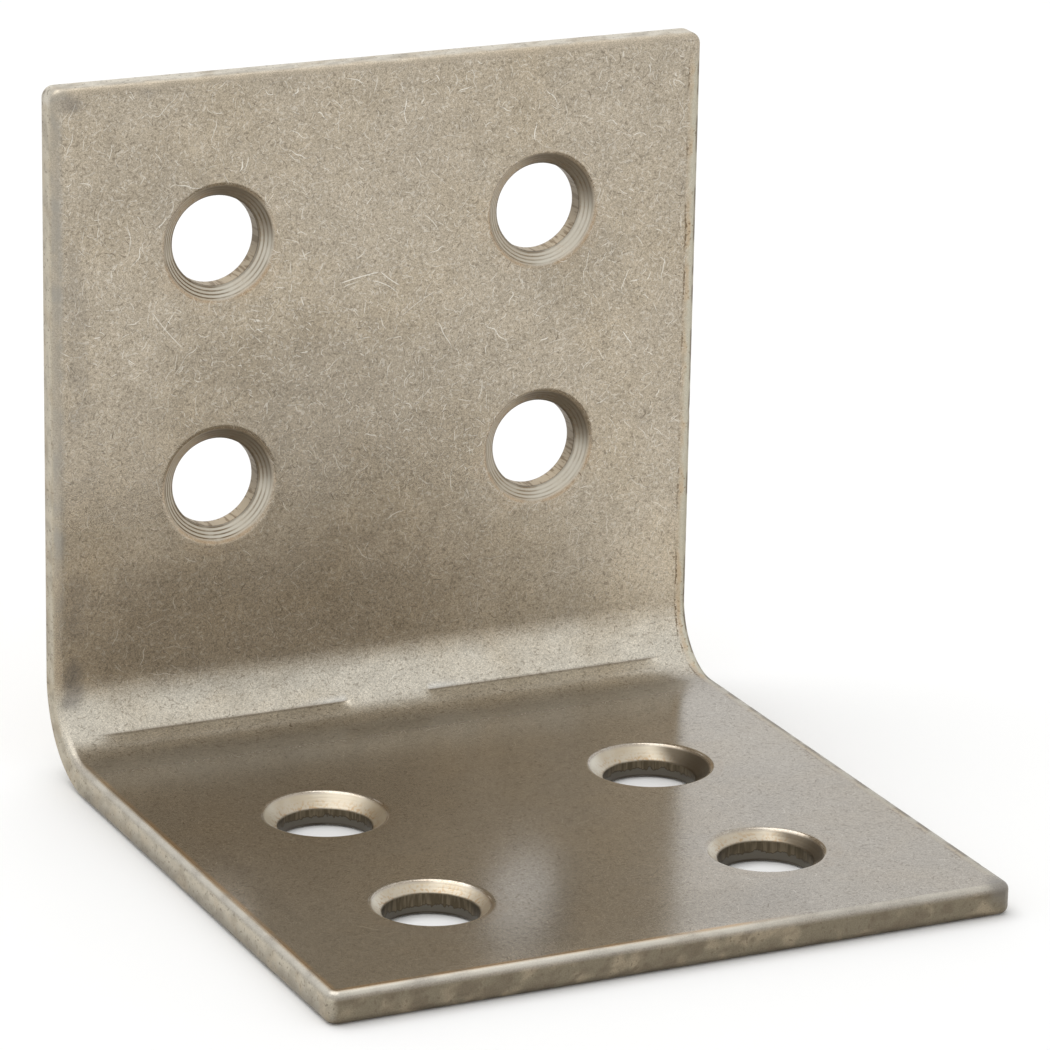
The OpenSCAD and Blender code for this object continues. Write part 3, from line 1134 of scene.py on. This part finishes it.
        # Painted highlight: cream on the left side of the base leg's cones.
        cone = g.blend(g.times(g.ramp(across, -0.55, -1.0), off_leg, 0.85), cone, self.cream_and_highlight)
        speckle = g.times(fleck, g.ramp(wall["Out"], 0.7, 0.1), g.ramp(patches, 0.35, 0.55, 0.3, 1.0), 0.6)
        cone = g.blend(speckle, cone, self.rust)
        # Painted highlight: cream on the lower right of the back leg's cones.
        cone = g.blend(g.times(g.ramp(lower_right, 0.7, 1.4), leg, 0.6), cone, self.cream_and_highlight)
        furrowed = g.most(g.ramp(lower_left, -0.1, -1.1), g.ramp(across, 0.3, 1.0, 0.0, 0.55))
        cone = g.blend(g.times(furrowed, leg, g.minus(1.0, wall["Groove"]), 0.6), cone, self.cream_and_highlight)
        cone = g.blend(g.times(wall["Groove"], furrowed, leg, g.level(right, 1.0, 0.5)), cone, self.burnt)
        # Painted shade: near black on the upper right of the back leg's cones and on the right side of the
        # base leg's right-hand cones.
        shaded = g.most(g.times(g.ramp(upper_right, 0.6, 1.7), leg, 0.6),
                        g.times(g.ramp(across, 0.5, 0.95), off_leg, right, 0.93))
        cone = g.blend(shaded, cone, self.near_black_and_shade)
        colour = g.blend(wall["Cone"], colour, cone)
        rim = g.times(wall["Rim"], g.ramp(patches, 0.4, 0.6, 0.1, 0.45), g.ramp(along, 0.4, -0.6, 0.3, 1.0))
        colour = g.blend(rim, colour, self.rust)

        land = g.blend(g.ramp(wall["Streak"], 0.35, 0.7, 0.0, 0.22), self.cut_land, self.tinted)
        land = g.blend(wall["Torn"], land, self.torn_land)
        land = g.blend(g.times(wall["Break"], 0.85), land, self.near_black_and_shade)
        speckled = g.blend(g.times(fleck, 0.65), self.back_cone, self.burnt)
        # Painted shade: the drilled walls of the back leg's holes are darker towards their upper right.
        speckled = g.blend(g.times(g.ramp(upper_right, -0.2, 1.2), 0.6), speckled, self.near_black_and_shade)
        colour = g.blend(wall["Land"], colour, g.blend(leg, land, speckled))
        throat = g.times(wall["Ring"], g.level(leg, *self.THROAT), g.ramp(patches, 0.35, 0.6, 0.6, 1.0))
        return g.blend(throat, colour, self.near_black_and_shade)


@dataclass(frozen=True)
class PlainFinish:
    """One even colour, for the stage."""

    name: str
    colour: Colour
    roughness: float

    def build(self) -> bpy.types.Material:
        """Returns the material."""
        material = bpy.data.materials.new(self.name)
        material.use_nodes = True
        shader = material.node_tree.nodes["Principled BSDF"]
        shader.inputs["Base Color"].default_value = self.colour
        shader.inputs["Roughness"].default_value = self.roughness
        return material


# The bracket


@dataclass(frozen=True)
class Bracket:
    """The whole bracket: one strip, its eight holes and its finish."""

    strip: Strip
    base_end_sink: float = 6.6
    base_fold_sink: float = 7.1
    back_sink: float = 6.9
    spots: tuple[Spot, ...] = ()

    def build(self, finish: bpy.types.Material) -> bpy.types.Object:
        """Returns the bracket as one plain mesh.

        Args:
            finish: Its material.

        Returns:
            The object, at the origin.
        """
        sinks = (self.base_end_sink, self.base_fold_sink, self.back_sink, self.back_sink)
        tiles = {d: HoleTile(d, sheet_t=self.strip.sheet_t).build(f"tile_{d}") for d in sorted(set(sinks))}
        blank = self.strip.build("blank", HoleTile.side)
        tree = fold_group(hole_row_group(), self.strip, self.spots)
        modifier = blank.modifiers.new("fold", "NODES")
        modifier.node_group = tree.tree
        for row, sink in zip(ROWS, sinks):
            modifier[tree.keys[f"{row} Tile"]] = tiles[sink]
        modifier[tree.keys["Finish"]] = finish
        depsgraph = bpy.context.evaluated_depsgraph_get()
        mesh = bpy.data.meshes.new_from_object(blank.evaluated_get(depsgraph), depsgraph=depsgraph)
        mesh.name = "folded_sheet"
        made = bpy.data.objects.new("folded_sheet", mesh)
        bpy.context.scene.collection.objects.link(made)
        for spare in (blank, *tiles.values()):
            bpy.data.objects.remove(spare)
        return made


# The stage


@dataclass(frozen=True)
class Lamp:
    """A square soft box that faces a point."""

    name: str
    at: Point
    towards: Point
    side: float
    radiance: float
    tint: tuple[float, float, float] = (1.0, 1.0, 1.0)

    def build(self) -> None:
        """Sets the lamp up. Its power follows from how bright its face is."""
        data = bpy.data.lights.new(self.name, "AREA")
        data.shape, data.size = "SQUARE", self.side
        data.energy = self.radiance * math.pi * self.side ** 2
        data.color = self.tint
        lamp = bpy.data.objects.new(self.name, data)
        lamp.location = self.at
        lamp.rotation_euler = (Vector(self.towards) - Vector(self.at)).to_track_quat("-Z", "Y").to_euler()
        bpy.context.scene.collection.objects.link(lamp)


@dataclass(frozen=True)
class Studio:
    """A pale floor, a white surround, soft boxes, and the camera where the photo's stood."""

    floor_side: float = 4.0
    surround: float = 0.8
    camera_at: Point = (-0.125373, -0.262942, 0.113512)
    camera_right: Point = (0.90464, -0.42579, 0.01814)
    camera_up: Point = (0.11675, 0.28852, 0.95033)
    camera_back: Point = (-0.40988, -0.85759, 0.31072)
    lens: float = 192.89
    lamps: tuple[Lamp, ...] = (
        Lamp("overhead", (-0.10, 0.16, 0.62), (0.0, 0.0, 0.01), 0.5, 2.2),
    )

    def build(self) -> None:
        """Sets the stage."""
        self._floor()
        self._surround()
        for lamp in self.lamps:
            lamp.build()
        self._camera()
        bpy.context.scene.view_settings.view_transform = "Standard"

    def _floor(self) -> None:
        """Lays the floor."""
        half = self.floor_side / 2
        mesh = bpy.data.meshes.new("floor")
        corners = [(-half, -half, 0), (half, -half, 0), (half, half, 0), (-half, half, 0)]
        mesh.from_pydata(corners, [], [(0, 1, 2, 3)])
        mesh.materials.append(PlainFinish("pale_floor", (0.92, 0.92, 0.915, 1.0), 0.7).build())
        floor = bpy.data.objects.new("floor", mesh)
        bpy.context.scene.collection.objects.link(floor)

    def _surround(self) -> None:
        """Makes the world white where it's seen or mirrored, and dimmer as a light."""
        world = bpy.data.worlds.new("surround")
        bpy.context.scene.world = world
        world.use_nodes = True
        world.node_tree.nodes.clear()
        g = Graph(world.node_tree)
        path = g.add("ShaderNodeLightPath").outputs
        seen = g.most(path["Is Camera Ray"], path["Is Glossy Ray"])
        strength = g.math("MULTIPLY_ADD", seen, 1.0 - self.surround, self.surround)
        back = g.add("ShaderNodeBackground", {"Color": (1.0, 1.0, 1.0, 1.0), "Strength": strength})
        g.add("ShaderNodeOutputWorld", {"Surface": back.outputs[0]})

    def _camera(self) -> None:
        """Stands the camera where the photo's was."""
        data = bpy.data.cameras.new("camera")
        data.lens, data.sensor_width = self.lens, 36.0
        data.clip_start, data.clip_end = 0.01, 20.0
        camera = bpy.data.objects.new("camera", data)
        turn = Matrix((self.camera_right, self.camera_up, self.camera_back)).transposed().to_4x4()
        camera.matrix_world = Matrix.Translation(self.camera_at) @ turn
        bpy.context.scene.collection.objects.link(camera)
        bpy.context.scene.camera = camera


# The spots' dirt is real dirt. Their lighter and darker factors are painted light and shade: on the back leg,
# darker patches paint in its reflection of the base leg and of a darker floor in front, and the other patches
# paint the brightness of what the steel mirrors.
SPOTS = (
    Spot(-18.9, 37.2, (0.9, 0.8), dirt=0.45, ragged=0.3),
    Spot(-18.6, 24.0, (0.8, 7.0), dirt=0.2, ragged=0.8),
    Spot(-18.9, 3.4, (0.9, 2.4), dirt=0.5),
    Spot(-18.6, 8.5, (0.9, 3.5), dirt=0.22, ragged=0.6),
    Spot(-17.6, -24.0, (0.9, 9.0), dirt=0.15),
    # Painted reflection: the base leg mirrored dark low on the back leg.
    Spot(-8.0, 6.0, (19.0, 6.5), tone=-0.27, ragged=0.1),
    # Painted reflection: a darker floor in front mirrored on the back leg.
    Spot(-2.0, 17.0, (16.0, 9.0), 0.1, tone=-0.14, ragged=0.1),
    Spot(-8.5, -38.5, (6.0, 2.0), tone=0.15, ragged=0.2),
    Spot(4.0, -36.0, (7.0, 3.5), tone=-0.1, ragged=0.1),
    Spot(17.0, -12.0, (5.0, 10.0), tone=0.06, ragged=0.1),
    Spot(-14.2, 37.5, (0.7, 0.4), dirt=0.25),
    Spot(17.5, 6.5, (4.5, 5.0), tone=0.17, ragged=0.1),
    Spot(19.7, -38.8, (1.6, 1.3), dirt=0.6, ragged=0.3),
    Spot(-14.5, 32.0, (5.0, 4.0), tone=-0.08, ragged=0.15),
    Spot(-8.0, 22.0, (8.0, 3.5), tone=-0.08, ragged=0.15),
    Spot(12.0, 25.0, (4.0, 5.0), tone=-0.1, ragged=0.15),
)
LIGHT_SCRATCHES = (
    Scratches(2.6, 0.8, 0.031, 2.6, 0.9, 0.6, (3.1, 7.7)),
    Scratches(1.3, 1.6, 0.033, 1.6, 0.6, 0.8, (5.9, -4.4)),
    Scratches(0.6, 3.2, 0.036, 0.5, 0.35, 0.95, (1.3, 9.2)),
)
DARK_SCRATCHES = Scratches(1.9, 1.0, 0.034, 2.0, 0.7, 0.85, (-7.7, -3.3))
LONG_SCRATCHES = (
    Scratch((-2.7, 25.4), (-0.1, 25.85), 0.05, 0.75),
    Scratch((-0.2, 25.9), (1.1, 24.9), -0.05, 0.65),
    Scratch((-0.9, 25.4), (1.0, 24.4), 0.2, 0.6),
    Scratch((2.5, 28.95), (3.45, 27.9), 0.1, 0.45),
    Scratch((-14.2, 25.1), (-12.1, 22.5), -0.1, 0.5),
    Scratch((1.1, 23.0), (3.4, 24.4), 0.1, 0.4),
)


def main() -> None:
    """Builds the bracket and its stage."""
    logging.basicConfig(level=logging.INFO, format="%(name)s: %(message)s")
    low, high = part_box(NODE)
    width, depth, height = ((high - low) / MM)
    strip = Strip(round(width, 2), round(depth, 2), round(height, 2))
    steel = TumbledSteel(LIGHT_SCRATCHES, DARK_SCRATCHES, LONG_SCRATCHES).build(strip)
    sheet = Bracket(strip, spots=SPOTS).build(steel)
    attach(sheet, "root")
    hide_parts(NODE)
    log.info("folded_sheet: %d faces", len(sheet.data.polygons))
    Studio().build()
    log.info("stage: floor, surround, lamps and camera")


if __name__ == "__main__":
    main()
